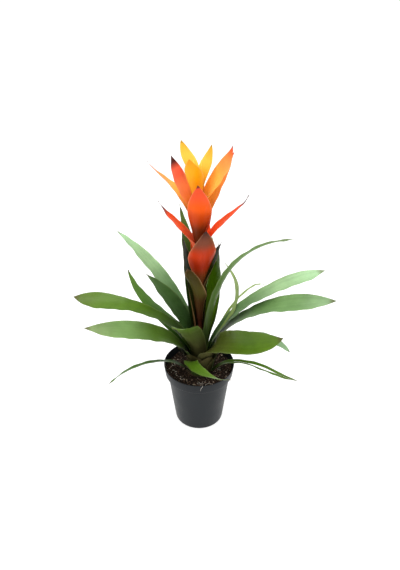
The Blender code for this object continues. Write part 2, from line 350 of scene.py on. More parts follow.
class Effect(Enum):
    """The shared surface effects, each a node group."""

    VEINS = "lengthwise_veins"
    MOTTLE = "soft_mottle"
    # This band masks the painted rim highlight along the blades' long edges.
    MARGIN = "rim_highlight_band"
    GRAIN = "fine_grain"


class Effects:
    """Builds each shared node group once."""

    def __init__(self) -> None:
        """Start with no groups."""
        self.made: dict[Effect, bpy.types.NodeTree] = {}

    def get(self, effect: Effect) -> bpy.types.NodeTree:
        """Give an effect's node group, built when first asked for."""
        if effect not in self.made:
            builders = {
                Effect.VEINS: self._veins,
                Effect.MOTTLE: self._mottle,
                Effect.MARGIN: self._rim_highlight,
                Effect.GRAIN: self._grain,
            }
            self.made[effect] = builders[effect](effect.value)
        return self.made[effect]

    def _start(
        self, name: str, inputs: dict[str, str], outputs: list[str]
    ) -> tuple[Graph, dict, bpy.types.Node]:
        """Open a group with named sockets.

        Args:
            name: the group's name.
            inputs: socket types by name.
            outputs: names of its value outputs.

        Returns:
            The graph, the inputs by name, and the output node.
        """
        tree = bpy.data.node_groups.new(name, "ShaderNodeTree")
        for socket, kind in inputs.items():
            tree.interface.new_socket(socket, in_out="INPUT", socket_type=f"NodeSocket{kind}")
        for socket in outputs:
            tree.interface.new_socket(socket, in_out="OUTPUT", socket_type="NodeSocketFloat")
        graph = Graph(tree)
        source = graph.node("NodeGroupInput")
        return graph, {socket: source.outputs[socket] for socket in inputs}, graph.node("NodeGroupOutput")

    def _veins(self, name: str) -> bpy.types.NodeTree:
        """Fine parallel veins: noise drawn out along the blade, at two widths."""
        graph, given, out = self._start(name, {"Place": "Vector", "Width": "Float", "Length": "Float"},
                                        ["Shade", "Height"])
        parts = graph.node("SeparateXYZ", {0: given["Place"]})
        across = graph.math("MULTIPLY", parts.outputs[0], given["Width"])
        along = graph.math("MULTIPLY", parts.outputs[1], given["Length"])
        drawn = graph.math("MULTIPLY", along, 0.02)
        place = graph.node("CombineXYZ", {0: across, 1: drawn, 2: given["Length"]})
        fine = graph.node("TexNoise", {"Vector": place.outputs[0], "Scale": 1100.0, "Detail": 2.0})
        broad = graph.node("TexNoise", {"Vector": place.outputs[0], "Scale": 260.0, "Detail": 3.0})
        for socket, share in (("Shade", 0.4), ("Height", 0.3)):
            thin = graph.math("MULTIPLY", fine.outputs[0], share)
            wide = graph.math("MULTIPLY", broad.outputs[0], 1 - share)
            graph.join(graph.math("ADD", thin, wide), out.inputs[socket])
        return graph.tree

    def _mottle(self, name: str) -> bpy.types.NodeTree:
        """Broad soft patches, spread to the full range."""
        graph, given, out = self._start(name, {"Scale": "Float", "Contrast": "Float"}, ["Value"])
        place = graph.node("TexCoord").outputs["Object"]
        inputs = {"Vector": place, "Scale": given["Scale"], "Detail": 4.0, "Roughness": 0.6}
        spread = graph.swing(graph.node("TexNoise", inputs).outputs[0], given["Contrast"])
        graph.join(graph.math("ADD", spread, 0.5, clamp=True), out.inputs["Value"])
        return graph.tree

    def _rim_highlight(self, name: str) -> bpy.types.NodeTree:
        """A band along both long edges: the distance from the middle, raised to a power. It masks the painted
        rim highlight.
        """
        graph, given, out = self._start(name, {"Place": "Vector", "Narrow": "Float"}, ["Mask"])
        across = graph.node("SeparateXYZ", {0: given["Place"]}).outputs[0]
        off = graph.math("ABSOLUTE", graph.math("SUBTRACT", graph.math("MULTIPLY", across, 2.0), 1.0), 0.0)
        graph.join(graph.math("POWER", off, given["Narrow"], clamp=True), out.inputs["Mask"])
        return graph.tree

    def _grain(self, name: str) -> bpy.types.NodeTree:
        """Fine grain: noise on the object's own coordinates."""
        graph, given, out = self._start(name, {"Scale": "Float"}, ["Value"])
        place = graph.node("TexCoord").outputs["Object"]
        fine = graph.node("TexNoise", {"Vector": place, "Scale": given["Scale"], "Detail": 3.0})
        graph.join(fine.outputs[0], out.inputs["Value"])
        return graph.tree


EFFECTS = Effects()


class Skin(Graph):
    """A new node material and its Principled shader."""

    def __init__(self, name: str) -> None:
        """Start the material."""
        self.material = bpy.data.materials.new(name)
        self.material.use_nodes = True
        super().__init__(self.material.node_tree)
        self.inputs = self.tree.nodes["Principled BSDF"].inputs

    def wear(
        self, base: bpy.types.NodeSocket, rough: object, gloss: float = 0.5, bump: tuple | None = None
    ) -> bpy.types.Material:
        """Dress the shader.

        Args:
            base: the base colour.
            rough: the roughness, plain or an output.
            gloss: the specular level.
            bump: strength, depth in metres and height of the relief.

        Returns:
            The material.
        """
        self.join(base, self.inputs["Base Color"])
        if isinstance(rough, float):
            self.inputs["Roughness"].default_value = rough
        else:
            self.join(rough, self.inputs["Roughness"])
        self.inputs["Specular IOR Level"].default_value = gloss
        if bump:
            relief = self.node("Bump", dict(zip(("Strength", "Distance", "Height"), bump)))
            self.join(relief.outputs[0], self.inputs["Normal"])
        return self.material


class Tone(Enum):
    """Colours of the blades: display colours from root to tip, parted by spaces; the pale mint and sheen runs
    hold a painted sheen.
    """

    DEEP = "263414 34501c 426424 4a6e28 58782c"
    SHADE = "222a14 2c3e1c 385428 3e5c2c 4c6a3a"
    MEADOW = "2c3c10 3c560a 4a6c10 547424 5a7030"
    OLIVE = "28340f 384c18 466220 6a8a4e 788c5c"
    # Painted sheen: the pale mint run and SHEEN stand for the white surroundings' gloss on the upper faces.
    MINT_SHEEN = "2e441c 446030 608050 8cac7c 9cc092"
    SHEEN = "283a14 3c5624 5c7c44 688a54 82a074"
    BASAL = "3a3418 464220 44501a 466408 547418"
    VIVID = "445618 527020 5a7e1c 609008 5a7c08"
    STRAW = "505c30 64743c 7c9050 8ca068 8ca068"
    OLD_SHEATH = "23200f 302f14 3c3c1c 4a4826"
    MOSS = "2a1c10 3c3016 40481c 26340e 2a2c12"
    EMBER = "6c4420 8c4a20 a82808 c83812 78402a 1c120e"
    FLAME = "5e3818 6c2e10 c84006 fa5c08 f65428 e84a2c"
    SCARLET = "b84c2c e8603a f05a20 e04c18 b83c20"
    ROSE = "c87830 f49a3c fa9458 f46c50 c04840"
    ORANGE = "c88c30 f4ac3c fcb448 f4944a e04a28"
    AMBER = "c48408 f0a408 f8b40c f0a010"
    GOLD = "b48c20 e0aa2c f2b440 cc9c2c"


@dataclass(frozen=True)
class BladeFinish:
    """How a family of blades looks close up."""

    roughness: float
    # The colour of the painted rim highlight along the long edges, and how strongly it is mixed in.
    margin: str
    rim_highlight_share: float
    vein_share: float
    mottle_share: float
    vein_height: float
    under: str
    under_share: float
    gloss: float
    dry: str

    def material(self, name: str, blade: "Blade") -> bpy.types.Material:
        """Make one blade's material.

        The colour runs through the tones from root to tip. Veins and soft
        patches vary it, the long edges take a paler band, a painted rim
        highlight, the underside is mixed with its own, and the tip dries from a
        share of the length on.

        Args:
            name: the material's name.
            blade: the blade that wears it.

        Returns:
            The material.
        """
        skin = Skin(name)
        place, along = skin.place()
        codes = blade.tones.value.split()
        base = skin.ramp(along, [(index / (len(codes) - 1), code) for index, code in enumerate(codes)])
        veins = skin.effect(Effect.VEINS, {"Place": place, "Width": blade.width, "Length": blade.length})
        mottle = skin.effect(Effect.MOTTLE, {"Scale": 45.0, "Contrast": 2.2}).outputs[0]
        lift = skin.swing(veins.outputs["Shade"], self.vein_share)
        patch = skin.swing(mottle, self.mottle_share)
        value = skin.math("ADD", skin.math("ADD", lift, patch), 1.0)
        tinted = skin.node("HueSaturation", {"Value": value, "Color": base}).outputs[0]
        # Painted rim highlight: a paler band mixed in along both long edges.
        margin = skin.effect(Effect.MARGIN, {"Place": place, "Narrow": 16.0}).outputs[0]
        tinted = skin.mix(skin.math("MULTIPLY", margin, self.rim_highlight_share), tinted, self.margin)
        under = skin.node("Attribute", attribute_name="underside").outputs["Fac"]
        tinted = skin.mix(skin.math("MULTIPLY", under, self.under_share), tinted, self.under)
        start, dryness = blade.dry
        reach = {"Value": along, "From Min": start, "From Max": (start + 1) / 2, "To Max": dryness}
        tinted = skin.mix(skin.node("MapRange", reach).outputs[0], tinted, self.dry)
        rough = skin.math("ADD", skin.math("MULTIPLY", mottle, 0.12), self.roughness - 0.06)
        return skin.wear(tinted, rough, self.gloss, (0.6, self.vein_height, veins.outputs["Height"]))


# The second colour of each finish is its painted rim highlight.
LEAF_FINISH = BladeFinish(0.36, "9aa870", 0.30, 0.46, 0.24, 0.0006, "8a9a70", 0.06, 0.15, "54442a")
BRACT_FINISH = BladeFinish(0.40, "ffc090", 0.40, 0.22, 0.16, 0.0004, "f0603a", 0.04, 0.13, "2c1a1c")
OLD_FINISH = BladeFinish(0.6, "9a8a60", 0.5, 0.6, 0.5, 0.0009, "4a4428", 0.1, 0.12, "4a4226")


# ---- blades ----------------------------------------------------------------------
@dataclass(frozen=True)
class Style:
    """How a family of blades is shaped across and along."""

    rows: int
    root_share: float
    tip_power: float
    channel: float
    unwrap: float
    thickness: float
    finish: BladeFinish


@dataclass(frozen=True)
class Blade:
    """One leaf or bract. Angles in degrees, lengths in metres."""

    azimuth: float
    turn: float
    climb: tuple[float, float, float]
    length: float
    width: float
    roll: tuple[float, float]
    widest: float
    tones: Tone
    height: float = 0.0
    sheath: float = 0.012
    least: float = 0.0005
    dry: tuple[float, float] = (0.95, 0.6)
    slit: tuple[float, float, float] = (0.0, 0.0, 1.0)


LEAF = Style(192, 0.80, 2.6, 0.48, 0.030, 0.0005, LEAF_FINISH)
BRACT = Style(144, 0.72, 1.8, 0.50, 0.025, 0.0006, BRACT_FINISH)
MOST_WRAP = np.radians(73)
OPENS_AFTER = 0.006
ROLL_STARTS_BY = 0.35
HEADING_POWER = 1.5
COLUMNS = 25
STRAND_CENTRE = 0.51
STRAND_HALF = 0.49
POINT_DRAW = 0.12
RIPPLE = 0.0004
RIPPLE_LENGTHS = (0.075, 0.041, 0.023)

LEAVES = (
    Blade(-115, 115, (85, -5, 5), 0.175, 0.023, (25, -50), 0.50, Tone.MEADOW),
    Blade(205, -20, (55, -5, -50), 0.165, 0.015, (20, 10), 0.55, Tone.DEEP),
    Blade(-15, -10, (50, -45, 5), 0.160, 0.013, (-15, 20), 0.50, Tone.MEADOW, slit=(0.0022, 0.44, 0.76)),
    Blade(0, -10, (80, 5, -50), 0.180, 0.026, (-10, 5), 0.60, Tone.MINT_SHEEN),
    Blade(210, -12, (84, 8, 20), 0.250, 0.035, (-5, -35), 0.60, Tone.OLIVE),
    Blade(40, 15, (80, 40, -45), 0.220, 0.005, (-10, 5), 0.60, Tone.STRAW),
    Blade(-66, 40, (84, 10, 34), 0.255, 0.038, (15, 85), 0.70, Tone.BASAL),
    Blade(96, 0, (82, 25, -10), 0.220, 0.030, (0, 0), 0.60, Tone.MEADOW),
    Blade(155, -30, (82, -20, 60), 0.215, 0.024, (-50, -35), 0.35, Tone.DEEP),
    Blade(-8, -9, (84, 12, 14), 0.290, 0.038, (-30, 55), 0.60, Tone.SHEEN),
    Blade(170, 0, (83, -14, 8), 0.270, 0.036, (30, -45), 0.75, Tone.MEADOW),
    Blade(-105, -8, (83, 40, 34), 0.225, 0.036, (28, -10), 0.65, Tone.BASAL),
    Blade(2, 9, (83, 22, 14), 0.290, 0.030, (-12, 20), 0.75, Tone.MINT_SHEEN),
    Blade(82, 0, (84, 46, 15), 0.240, 0.030, (0, 0), 0.60, Tone.SHEEN),
    Blade(150, -6, (84, 40, 26), 0.290, 0.032, (-10, 25), 0.65, Tone.MINT_SHEEN),
    Blade(-16, 192, (82, 24, 54), 0.220, 0.007, (-6, -20), 0.65, Tone.STRAW),
    Blade(175, -5, (84, 56, 46), 0.210, 0.034, (-20, 0), 0.55, Tone.SHADE),
    Blade(34, -12, (84, 76, 92), 0.242, 0.034, (22, -8), 0.40, Tone.VIVID),
    Blade(-34, 18, (84, 86, 6), 0.360, 0.028, (14, -46), 0.60, Tone.OLIVE),
    Blade(124, 12, (84, 86, 70), 0.300, 0.034, (-14, 10), 0.40, Tone.DEEP),
)
OLD_SHEATHS = tuple(
    Blade(azimuth, turn, climb, length, width, (0, roll), 0.35, Tone.OLD_SHEATH, dry=(0.6, 0.5))
    for azimuth, turn, climb, length, width, roll in (
        (-122, 4, (82, 72, 62), 0.056, 0.036, 8),
        (-160, -6, (82, 66, 50), 0.060, 0.030, -6),
        (-68, 4, (83, 76, 68), 0.046, 0.036, 5),
        (-20, 5, (82, 72, 60), 0.046, 0.030, 6),
        (70, 5, (82, 76, 66), 0.040, 0.030, 6),
        (135, 5, (82, 76, 66), 0.044, 0.030, 6),
    )
)
BRACTS = (
    Blade(150, 0, (84, 84, 80), 0.210, 0.034, (0, 0), 0.45, Tone.MOSS, 0.045),
    Blade(60, 0, (86, 86, 80), 0.090, 0.028, (0, 0), 0.45, Tone.MOSS, 0.085),
    Blade(-114, 8, (86, 66, 54), 0.140, 0.036, (-28, 25), 0.45, Tone.MOSS, 0.106),
    Blade(15, 0, (80, 70, 68), 0.108, 0.032, (0, 0), 0.45, Tone.MOSS, 0.145),
    Blade(-76, 0, (78, 70, 76), 0.134, 0.048, (-5, 10), 0.50, Tone.EMBER, 0.165),
    Blade(80, 0, (80, 70, 60), 0.120, 0.036, (0, 0), 0.45, Tone.FLAME, 0.180),
    Blade(0, 0, (84, 18, 65), 0.168, 0.025, (5, -12), 0.55, Tone.SCARLET, 0.186, 0.055,
          dry=(0.84, 0.9), least=0.0017),
    Blade(14, 0, (84, 82, 80), 0.112, 0.034, (0, 0), 0.45, Tone.FLAME, 0.198),
    Blade(184, -14, (76, 32, 64), 0.108, 0.027, (-8, 8), 0.25, Tone.SCARLET, 0.230,
          dry=(0.74, 0.85), least=0.0020),
    Blade(-86, -12, (78, 66, 60), 0.136, 0.039, (-8, 8), 0.45, Tone.FLAME, 0.248, dry=(0.94, 0.9)),
    Blade(34, 6, (74, 60, 50), 0.134, 0.030, (-4, 15), 0.40, Tone.ORANGE, 0.266, dry=(0.93, 0.4)),
    Blade(140, 30, (76, 6, 56), 0.128, 0.029, (2, 30), 0.50, Tone.ORANGE, 0.274,
          dry=(0.92, 0.8), least=0.0020),
    Blade(156, -6, (74, 56, 76), 0.108, 0.025, (-10, -10), 0.65, Tone.ROSE, 0.286, dry=(0.80, 0.92)),
    Blade(8, 10, (76, 44, 78), 0.118, 0.032, (4, 20), 0.50, Tone.ORANGE, 0.298),
    Blade(98, 0, (84, 60, 42), 0.068, 0.026, (0, 0), 0.45, Tone.ORANGE, 0.306),
    Blade(-110, -4, (80, 72, 66), 0.090, 0.030, (8, 0), 0.60, Tone.AMBER, 0.316, dry=(0.95, 0.25)),
    Blade(52, 10, (80, 45, 66), 0.078, 0.024, (-4, -4), 0.45, Tone.GOLD, 0.328, dry=(0.93, 0.35)),
    Blade(132, -10, (80, 40, 60), 0.074, 0.026, (5, 0), 0.50, Tone.GOLD, 0.340, dry=(0.93, 0.3)),
)


@dataclass(frozen=True)
class BladeShell:
    """Works out one blade's closed surface."""

    blade: Blade
    style: Style
    root: np.ndarray
    axis: tuple[float, float]
    seed: int
    strand: int = 0

    def _half_width(self, share: np.ndarray) -> np.ndarray:
        """Half the width: it grows to the widest place, then tapers by a power, and
        the last stretch is drawn in to a point."""
        blade, style = self.blade, self.style
        grow = style.root_share + (1 - style.root_share) * smooth(share / blade.widest)
        past = np.clip((share - blade.widest) / (1 - blade.widest), 0, 1)
        taper = (1 - past**style.tip_power) * (1 - POINT_DRAW * past**10)
        least = blade.least * (1 - 0.8 * smooth((share - 0.97) / 0.03))
        return np.maximum(least, blade.width / 2 * grow * taper)

    def surface(self) -> Surface:
        """Work out the blade.

        The centre line leaves the root and climbs at an angle that runs through
        three values; each point is the last one plus the mean direction times
        the step. Across it lies an arc, as bent as the stem's round near the
        root and opening into a shallow channel. Two such sheets, apart by a
        thickness that falls to nothing at the long edges, make the closed shell.
        A slit blade is two strands, -1 and 1, each one half of the width, bowed
        apart by half a sine wave.

        Returns:
            The closed surface, its place being (across share, length share).
        """
        blade, style = self.blade, self.style
        share = np.linspace(0, 1, style.rows + 1)
        bend_from = blade.sheath / blade.length
        free = np.clip((share - bend_from) / (1 - bend_from), 0, 1)
        start, middle, end = blade.climb
        climb = np.radians((1 - free) ** 2 * start + 2 * free * (1 - free) * middle + free**2 * end)
        heading = np.radians(blade.azimuth + blade.turn * free**HEADING_POWER)
        along = polar(np.cos(climb), heading, np.sin(climb))
        moves = (along[1:] + along[:-1]) / 2 * (blade.length / style.rows)
        centre = self.root + np.vstack([np.zeros(3), np.cumsum(moves, 0)])
        up = polar(-np.sin(climb), heading, np.cos(climb))
        side = np.cross(along, up)
        roll = np.radians(blade.roll[0] * np.sin(np.pi * free) + blade.roll[1] * free)
        roll = (roll * smooth(free / ROLL_STARTS_BY))[:, None]
        normal = up * np.cos(roll) + side * np.sin(roll)
        side = side * np.cos(roll) - up * np.sin(roll)
        reach = np.hypot(centre[:, 0] - self.axis[0], centre[:, 1] - self.axis[1])
        opened = smooth((reach - reach[0] - OPENS_AFTER) / style.unwrap)
        bend = (1 - opened) / reach + opened * style.channel * 2 / blade.width
        most = np.minimum(self._half_width(share) * bend, MOST_WRAP)
        across = np.sin(np.linspace(-np.pi / 2, np.pi / 2, COLUMNS))
        across = (across + 2 * np.linspace(-1, 1, COLUMNS)) / 3
        amount, first, last = blade.slit
        if self.strand:
            across = STRAND_CENTRE * self.strand + STRAND_HALF * across
            apart = amount * self.strand * np.sin(np.pi * np.clip((share - first) / (last - first), 0, 1))
            centre = centre + side * apart[:, None]
        turn = most[:, None] * across
        flat = (side[:, None] * (np.sin(turn) / bend[:, None])[..., None]
                + normal[:, None] * ((1 - np.cos(turn)) / bend[:, None])[..., None])
        outward = normal[:, None] * np.cos(turn)[..., None] - side[:, None] * np.sin(turn)[..., None]
        wave = self._ripple(share * blade.length, across, free, opened)
        middle_sheet = centre[:, None] + flat + outward * wave[..., None]
        edge = np.linspace(-1, 1, COLUMNS) ** 4
        half = style.thickness / 2 * (1 - edge) * (1 - 0.5 * share[:, None])
        top = middle_sheet + outward * half[..., None]
        bottom = middle_sheet - outward * half[..., None]
        ring = np.concatenate([top, bottom[:, -2:0:-1]], 1)
        places = np.concatenate([across, across[-2:0:-1]])
        under = np.concatenate([np.zeros(COLUMNS), np.ones(COLUMNS - 2)])
        return self._closed(ring, places, under, share)

    def _ripple(
        self, along: np.ndarray, across: np.ndarray, free: np.ndarray, opened: np.ndarray
    ) -> np.ndarray:
        """Long waves of the edges: noise along each edge times the square of the
        distance from the middle, and none where the blade clasps the stem."""
        noise = np.random.default_rng(self.seed)
        phases = noise.uniform(0, 2 * np.pi, (2, 3))
        waves = np.array(RIPPLE_LENGTHS)
        left, right = (np.sin(2 * np.pi * along[:, None] / waves + phase).sum(1) for phase in phases)
        edge = np.where(across[None] < 0, left[:, None], right[:, None])
        return RIPPLE * edge * across**2 * (smooth(free * 3) * opened)[:, None]

    def _closed(self, ring: np.ndarray, places: np.ndarray, under: np.ndarray, share: np.ndarray) -> Surface:
        """Join the rings, and close the root and the tip with strips.

        Args:
            ring: the rings' points, one row for each step along the blade.
            places: where each ring point lies across, from -1 to 1.
            under: 1 for the ring points of the underside.
            share: each row's share of the length.

        Returns:
            The closed surface.
        """
        rows, count = ring.shape[:2]
        inner = np.arange(1, COLUMNS - 2)
        strip = np.stack([inner, inner + 1, count - inner - 1, count - inner], -1)
        ends = [[0, 1, count - 1], [COLUMNS - 2, COLUMNS - 1, COLUMNS]]
        faces = band(rows, count) + strip[:, ::-1].tolist() + [end[::-1] for end in ends]
        last = count * (rows - 1)
        faces += (strip + last).tolist()
        faces += [[index + last for index in end] for end in ends]
        place = np.stack([np.tile(places / 2 + 0.5, rows), np.repeat(share, count)], -1)
        return Surface(ring.reshape(-1, 3), faces, place, {"underside": np.tile(under, rows)})


@dataclass
class Rosette:
    """The strap leaves, each sheath inside the one before it, and the dry old sheaths."""

    foot_x: float = 0.003
    outermost: float = 0.0222
    pitch: float = 0.0009
    sheath_shortest: float = 0.008
    sheath_step: float = 0.0022
    old_ring: float = 0.0190
    old_seeds: int = 50

    def build(self) -> int:
        """Make every leaf, and the old sheaths between the outer ones.

        Returns:
            How many pieces were made.
        """
        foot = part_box("flower_stem")[0].z
        pieces = 0
        for index, blade in enumerate(LEAVES):
            root = self._root(self.outermost - self.pitch * index, blade, foot)
            shaped = replace(blade, sheath=self.sheath_shortest + self.sheath_step * index)
            name = f"leaf_{index + 1:02d}"
            finish = LEAF.finish.material(f"{name}_skin", blade)
            for strand in (-1, 1) if blade.slit[0] else (0,):
                shell = BladeShell(shaped, LEAF, root, (self.foot_x, 0.0), index, strand)
                part = {0: "blade", -1: "strand_a", 1: "strand_b"}[strand]
                made = shell.surface().finish(f"{name}_{part}", finish)
                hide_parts(name)
                pieces += 1
        for index, blade in enumerate(OLD_SHEATHS):
            root = self._root(self.old_ring, blade, foot)
            shell = BladeShell(blade, LEAF, root, (self.foot_x, 0.0), self.old_seeds + index)
            finish = OLD_FINISH.material(f"old_sheath_{index + 1}_skin", blade)
            shell.surface().finish(f"old_sheath_{index + 1}", finish)
            pieces += 1
        return pieces

    def _root(self, radius: float, blade: Blade, foot: float) -> np.ndarray:
        """Where a blade starts: at its azimuth on a ring round the stem's foot."""
        return polar(radius, np.radians(blade.azimuth), foot) + (self.foot_x, 0.0, 0.0)


@dataclass
class Spike:
    """The flower stem with its bracts and florets."""

    foot_x: float = 0.003
    lean: float = -0.015
    foot_radius: float = 0.0042
    top_radius: float = 0.0028
    root_gap: float = 0.0012
    floret_ring: float = 0.0029
    floret_radius: float = 0.0018
    floret_length: float = 0.033
    floret_spread: float = 9.0
    floret_count: int = 4
    floret_turn: float = 45.0
    floret_lift: float = 0.0006
    floret_sides: int = 24
    lobe_depth: float = 0.12
    knot_height: float = 0.0003
    knot_length: float = 0.003
    seeds: int = 100

    def build(self) -> int:
        """Make the stem, the bracts and the florets.

        Returns:
            How many pieces were made.
        """
        self._stem()
        soil_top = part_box("soil")[1].z
        radius = self.foot_radius + self.root_gap
        for index, blade in enumerate(BRACTS):
            axis = self.foot_x + self.lean * blade.height
            root = polar(radius, np.radians(blade.azimuth), soil_top + blade.height) + (axis, 0.0, 0.0)
            name = f"bract_{index + 1:02d}"
            shell = BladeShell(blade, BRACT, root, (axis, 0.0), self.seeds + index)
            finish = BRACT.finish.material(f"{name}_skin", blade)
            made = shell.surface().finish(f"{name}_blade", finish)
            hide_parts(name)
        self._florets()
        return len(BRACTS) + self.floret_count + 1

    def _stem(self) -> None:
        """The stem: a tapering tube with a slight swelling under each bract."""
        low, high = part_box("flower_stem")
        share = np.linspace(0, 1, 120)
        height = (high.z - low.z) * share
        path = np.stack([self.foot_x + self.lean * height, 0 * height, low.z + height], -1)
        radii = self.foot_radius + (self.top_radius - self.foot_radius) * share
        for blade in BRACTS:
            radii = radii + self.knot_height * np.exp(-(((height - blade.height) / self.knot_length) ** 2))
        skin = Skin("stem_skin")
        stops = [(0.0, "3a2a14"), (0.35, "5a1c10"), (0.8, "a03018"), (1.0, "d06020")]
        base = skin.ramp(skin.place()[1], stops)
        grain = skin.effect(Effect.GRAIN, {"Scale": 900.0}).outputs[0]
        base = skin.mix(skin.math("MULTIPLY", grain, 0.5), base, "2a1408")
        piece = tube(path, radii, 28).finish("flower_stem_stalk", skin.wear(base, 0.5))
        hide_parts("flower_stem")

    def _florets(self) -> None:
        """The closed florets: slim buds of three folded petals."""
        low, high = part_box("flower_stem")
        height = high.z - low.z
        share = np.linspace(0, 1, 30)
        skin = Skin("floret_skin")
        base = skin.ramp(skin.place()[1], [(0.0, "e8b020"), (0.5, "ffd428"), (1.0, "ffe060")])
        mottle = skin.effect(Effect.MOTTLE, {"Scale": 300.0, "Contrast": 1.5}).outputs[0]
        made = skin.wear(skin.mix(skin.math("MULTIPLY", mottle, 0.3), base, "f0a818"), 0.42)
        tilt = np.radians(self.floret_spread)
        turn = 2 * np.pi * np.arange(self.floret_sides) / self.floret_sides
        lobes = 1 + self.lobe_depth * np.cos(3 * turn)[None] * smooth(share * 2)[:, None]
        swell = self.floret_radius * np.sin(np.pi * np.clip(share, 0.02, 0.985))[:, None] ** 0.7
        top = np.array([self.foot_x + self.lean * height, 0.0, high.z + self.floret_lift])
        for index in range(self.floret_count):
            angle = 2 * np.pi * index / self.floret_count + np.radians(self.floret_turn)
            out = polar(1.0, angle, 0.0)
            line = out * np.sin(tilt) + np.array([0, 0, np.cos(tilt)])
            path = top + out * self.floret_ring + line * (share * self.floret_length)[:, None]
            piece = tube(path, swell * lobes, self.floret_sides).finish(f"floret_{index + 1}_bud", made)
            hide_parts(f"floret_{index + 1}")


# ---- pot and soil ----------------------------------------------------------------
@dataclass
class Pot:
    """The round nursery pot: a thin stepped cup with drain holes."""

    lip_height: float = 0.018
    lip_low_radius: float = 0.0578
    shoulder_drop: float = 0.0025
    shoulder_radius: float = 0.0532
    base_radius: float = 0.0415
    base_round: float = 0.004
    wall: float = 0.0012
    base_thickness: float = 0.0016
    drain_radius: float = 0.0045
    drain_circle: float = 0.030
    drains: int = 6
    drain_sides: int = 24
    drill_below: float = 0.002
    drill_above: float = 0.004
    steps: int = 144

    def __post_init__(self) -> None:
        """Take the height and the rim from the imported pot."""
        low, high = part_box("pot")
        self.height = high.z
        self.rim_radius = (high.x - low.x) / 2

    def inner_radius(self, height: float) -> float:
        """Radius of the inner wall at a height: straight runs between the corners."""
        shoulder = self.height - self.lip_height
        heights = [0.0, shoulder - self.shoulder_drop, shoulder, self.height]
        radii = [self.base_radius, self.shoulder_radius, self.lip_low_radius, self.rim_radius]
        return float(np.interp(height, heights, radii)) - self.wall

    def build(self) -> int:
        """Make the pot.

        Returns:
            How many pieces were made.
        """
        shoulder = self.height - self.lip_height
        low = shoulder - self.shoulder_drop
        floor = self.base_thickness
        outline = [
            (0.0, 0.0, 0.0),
            (self.base_radius - 0.0005, 0.0, self.base_round),
            (self.shoulder_radius, low, 0.001),
            (self.lip_low_radius, shoulder, 0.001),
            (self.rim_radius, self.height, 0.0005),
            (self.rim_radius - self.wall, self.height, 0.0005),
            (self.inner_radius(shoulder), shoulder, 0.001),
            (self.inner_radius(low), low, 0.001),
            (self.inner_radius(floor), floor, self.base_round - self.wall),
            (0.0, floor, 0.0),
        ]
        surface = lathe(rounded(outline), self.steps)
        made = surface.finish("pot_shell", self._skin(), 70.0)
        self._drill(made)
        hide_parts("pot")
        return 1

    def _drill(self, pot: bpy.types.Object) -> None:
        """Cut the ring of round drain holes through the base.

        Args:
            pot: the pot's piece, whose mesh is replaced.
        """
        low, high = -self.drill_below, self.drill_above
        drill = [(0.0, low), (self.drain_radius, low), (self.drain_radius, high), (0.0, high)]
        pin = lathe(np.array(drill), self.drain_sides)
        turn = 2 * np.pi * np.arange(self.drains) / self.drains
        centres = polar(self.drain_circle, turn, 0.0)
        points = (pin.points[None] + centres[:, None]).reshape(-1, 3)
        count = len(pin.points)
        faces = [
            [corner + count * hole for corner in face] for hole in range(self.drains) for face in pin.faces
        ]
        mesh = bpy.data.meshes.new("drills")
        mesh.from_pydata(points.tolist(), [], faces)
        cutter = bpy.data.objects.new("drills", mesh)
        bpy.context.scene.collection.objects.link(cutter)
        cut = pot.modifiers.new("drain_holes", "BOOLEAN")
        cut.operation = "DIFFERENCE"
        cut.solver = "EXACT"
        cut.object = cutter
        seen = bpy.context.evaluated_depsgraph_get()
        drilled = bpy.data.meshes.new_from_object(pot.evaluated_get(seen))
        pot.modifiers.clear()
        pot.data = drilled
        bpy.data.objects.remove(cutter)

    def _skin(self) -> bpy.types.Material:
        """Dark moulded plastic: soft patches of tone and shine over a fine grain."""
        skin = Skin("pot_plastic_skin")
        grain = skin.effect(Effect.GRAIN, {"Scale": 2600.0}).outputs[0]
        mottle = skin.effect(Effect.MOTTLE, {"Scale": 28.0, "Contrast": 2.4}).outputs[0]
        rough = skin.math("ADD", skin.math("MULTIPLY", mottle, 0.12), 0.36)
        return skin.wear(skin.mix(mottle, "14181c", "1c2125"), rough, 0.16, (0.25, 0.0002, grain))


